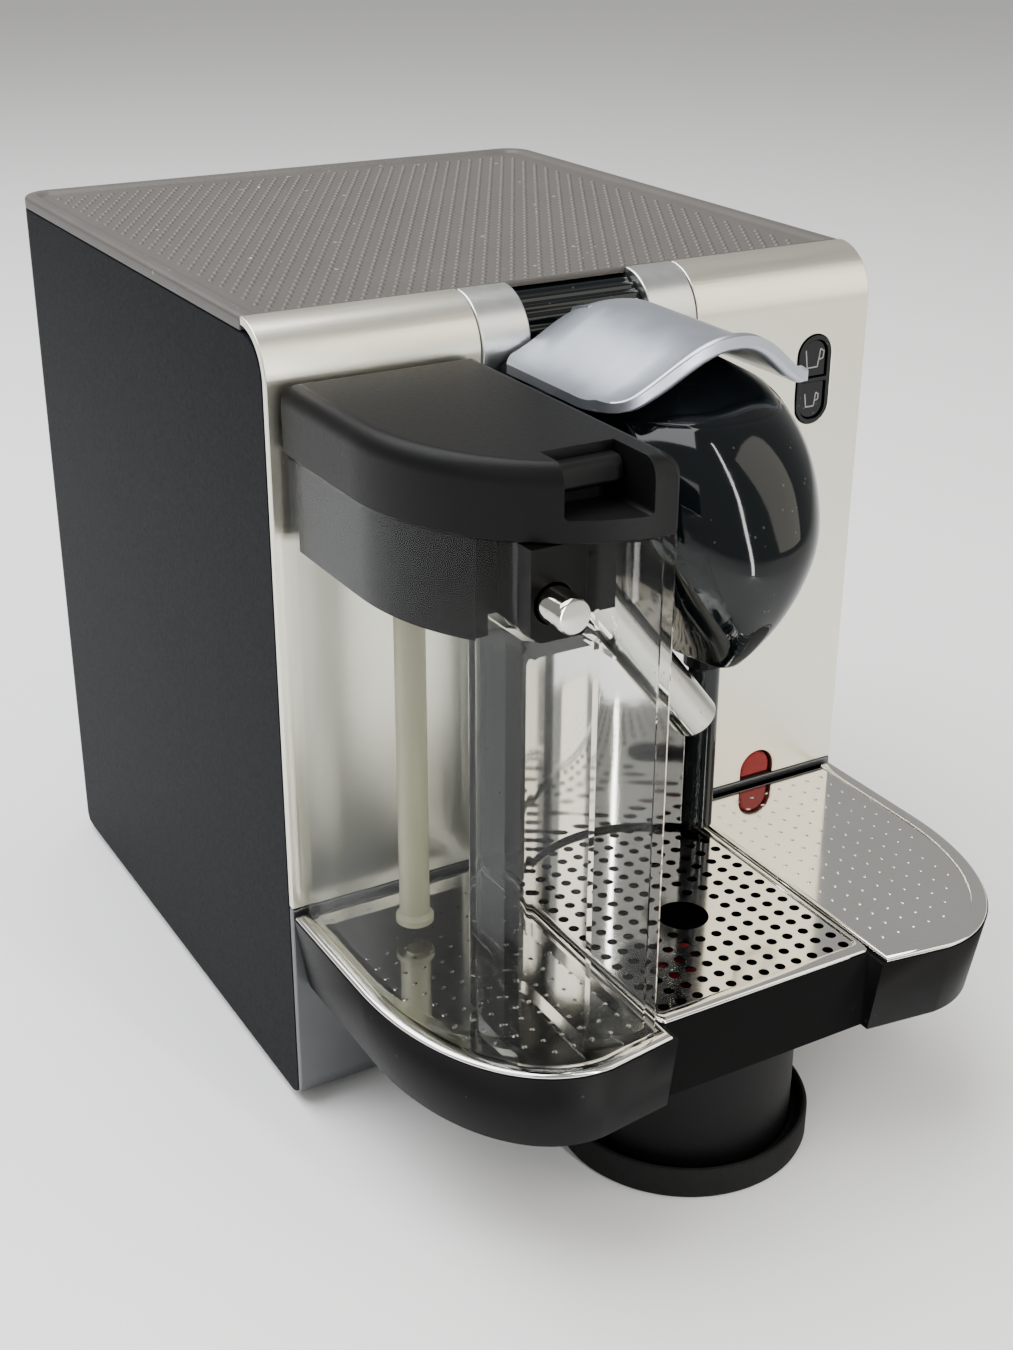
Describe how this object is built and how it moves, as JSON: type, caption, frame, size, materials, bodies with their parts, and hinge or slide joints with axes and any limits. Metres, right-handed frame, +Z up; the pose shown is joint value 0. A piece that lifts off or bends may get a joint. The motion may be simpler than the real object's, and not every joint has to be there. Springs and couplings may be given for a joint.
{
  "type": "pod coffee machine",
  "caption": "Pod coffee machine: boxy casing, lifting lever over a drop-shaped brew head, docked clear milk jug with spout, three-bay drip tray on a pedestal, rear water tank.",
  "frame": {"origin": "middle of the footprint, on the table", "axes": "+Z up, the front faces -Y, +X to the machine's right side as seen from the front"},
  "size_m": [0.208, 0.3336, 0.2568],
  "materials": {
    "satin_steel": "fine satin",
    "mirror_steel": "polished sheet steel",
    "satin_silver": "satin silver",
    "blue_black": "matt blue-black",
    "warm_grey": "satin, dimpled",
    "satin_black": "satin black",
    "gloss_black": "piano black",
    "chrome": "bright chrome",
    "clear": "clear plastic",
    "milky": "translucent silicone",
    "red": "translucent red",
    "rubber": "black rubber",
    "grey_plastic": "moulded grey",
    "cast_alloy": "as cast",
    "board_green": "lacquered board"
  },
  "bodies": {
    "casing": {"left_side_panel": "blue_black", "right_side_panel": "blue_black", "rear_panel": "satin_black", "heel_panel": "satin_black", "top_cover": "warm_grey", "front_fascia": "satin_steel", "lower_front_panel": "satin_silver", "base_plate": "satin_black", "chassis": "grey_plastic", "brew_head_shell": "gloss_black", "brew_chamber": "grey_plastic", "coffee_outlet": "satin_black", "cup_bay_frame": "gloss_black", "hinge_barrel_left": "satin_silver", "hinge_barrel_right": "satin_silver", "hinge_pin": "cast_alloy", "button_bezel": "gloss_black", "tank_coupling": "grey_plastic", "steam_nozzle": "satin_black", "pump": "cast_alloy", "pump_cradle_front": "rubber", "pump_cradle_rear": "rubber", "thermoblock": "cast_alloy", "circuit_board": "board_green", "cord_gland": "rubber", "foot_front_left": "rubber", "foot_front_right": "rubber", "foot_back_left": "rubber", "foot_back_right": "rubber", "screw_front_left": "cast_alloy", "screw_front_right": "cast_alloy", "screw_back_left": "cast_alloy", "screw_back_right": "cast_alloy"},
    "lever": {"hinge_drum": "gloss_black", "lever": "satin_silver"},
    "piston": {"brew_piston": "grey_plastic"},
    "short_button": {"short_cup_button": "gloss_black"},
    "long_button": {"long_cup_button": "gloss_black"},
    "milk_key": {"milk_button": "satin_steel"},
    "power_key": {"power_button": "red"},
    "tray": {"drip_tray": "satin_black", "left_plate": "mirror_steel", "right_plate": "mirror_steel", "pedestal": "satin_black", "pedestal_foot": "rubber", "pod_bin": "satin_black", "bay_plate": "mirror_steel"},
    "grid": {"drip_grid": "mirror_steel"},
    "float": {"tray_float": "red"},
    "jug": {"milk_jug": "clear", "jug_lid": "satin_black", "froth_housing": "satin_black", "suction_tube": "milky", "milk_spout": "chrome"},
    "clean_key": {"clean_button": "chrome"},
    "latch": {"lid_latch": "satin_black"},
    "tank": {"water_tank": "clear", "tank_lid": "satin_black"},
    "valve": {"tank_valve": "rubber"}
  },
  "joints": [
    {"name": "lever_lift", "type": "hinge", "parent": "casing", "child": "lever", "pos_m": [0, -0.0388, 0.2396], "axis": [-1, 0, 0], "range_deg": [0, 65]},
    {"name": "piston_slide", "type": "slide", "parent": "casing", "child": "piston", "axis": [0, 1, 0], "range_m": [0, 0.022]},
    {"name": "short_cup_press", "type": "slide", "parent": "casing", "child": "short_button", "axis": [0, 1, 0], "range_m": [0, 0.0012], "stiffness_N_per_m": 400},
    {"name": "long_cup_press", "type": "slide", "parent": "casing", "child": "long_button", "axis": [0, 1, 0], "range_m": [0, 0.0012], "stiffness_N_per_m": 400},
    {"name": "milk_press", "type": "slide", "parent": "casing", "child": "milk_key", "axis": [0, 1, 0], "range_m": [0, 0.0012], "stiffness_N_per_m": 400},
    {"name": "power_press", "type": "slide", "parent": "casing", "child": "power_key", "axis": [0, 1, 0], "range_m": [0, 0.0012], "stiffness_N_per_m": 400},
    {"name": "tray_slide", "type": "slide", "parent": "casing", "child": "tray", "axis": [0, -1, 0], "range_m": [0, 0.11]},
    {"name": "grid_draw", "type": "slide", "parent": "tray", "child": "grid", "axis": [0, -1, 0], "range_m": [0, 0.09]},
    {"name": "float_rise", "type": "slide", "parent": "tray", "child": "float", "axis": [0, 0, 1], "range_m": [0, 0.0092]},
    {"name": "jug_undock", "type": "slide", "parent": "casing", "child": "jug", "axis": [0, -1, 0], "range_m": [0, 0.13]},
    {"name": "clean_press", "type": "slide", "parent": "jug", "child": "clean_key", "axis": [0, 1, 0], "range_m": [0, 0.003], "stiffness_N_per_m": 400},
    {"name": "latch_press", "type": "slide", "parent": "jug", "child": "latch", "axis": [0, 0, -1], "range_m": [0, 0.002], "stiffness_N_per_m": 400},
    {"name": "tank_slide", "type": "slide", "parent": "casing", "child": "tank", "axis": [0, 1, 0], "range_m": [0, 0.12]},
    {"name": "valve_open", "type": "slide", "parent": "tank", "child": "valve", "axis": [0, 1, 0], "range_m": [0, 0.003], "stiffness_N_per_m": 400}
  ],
  "couplings": [
    {"joint": "piston_slide", "follows": "lever_lift", "m_per_rad": 0.01939}
  ]
}
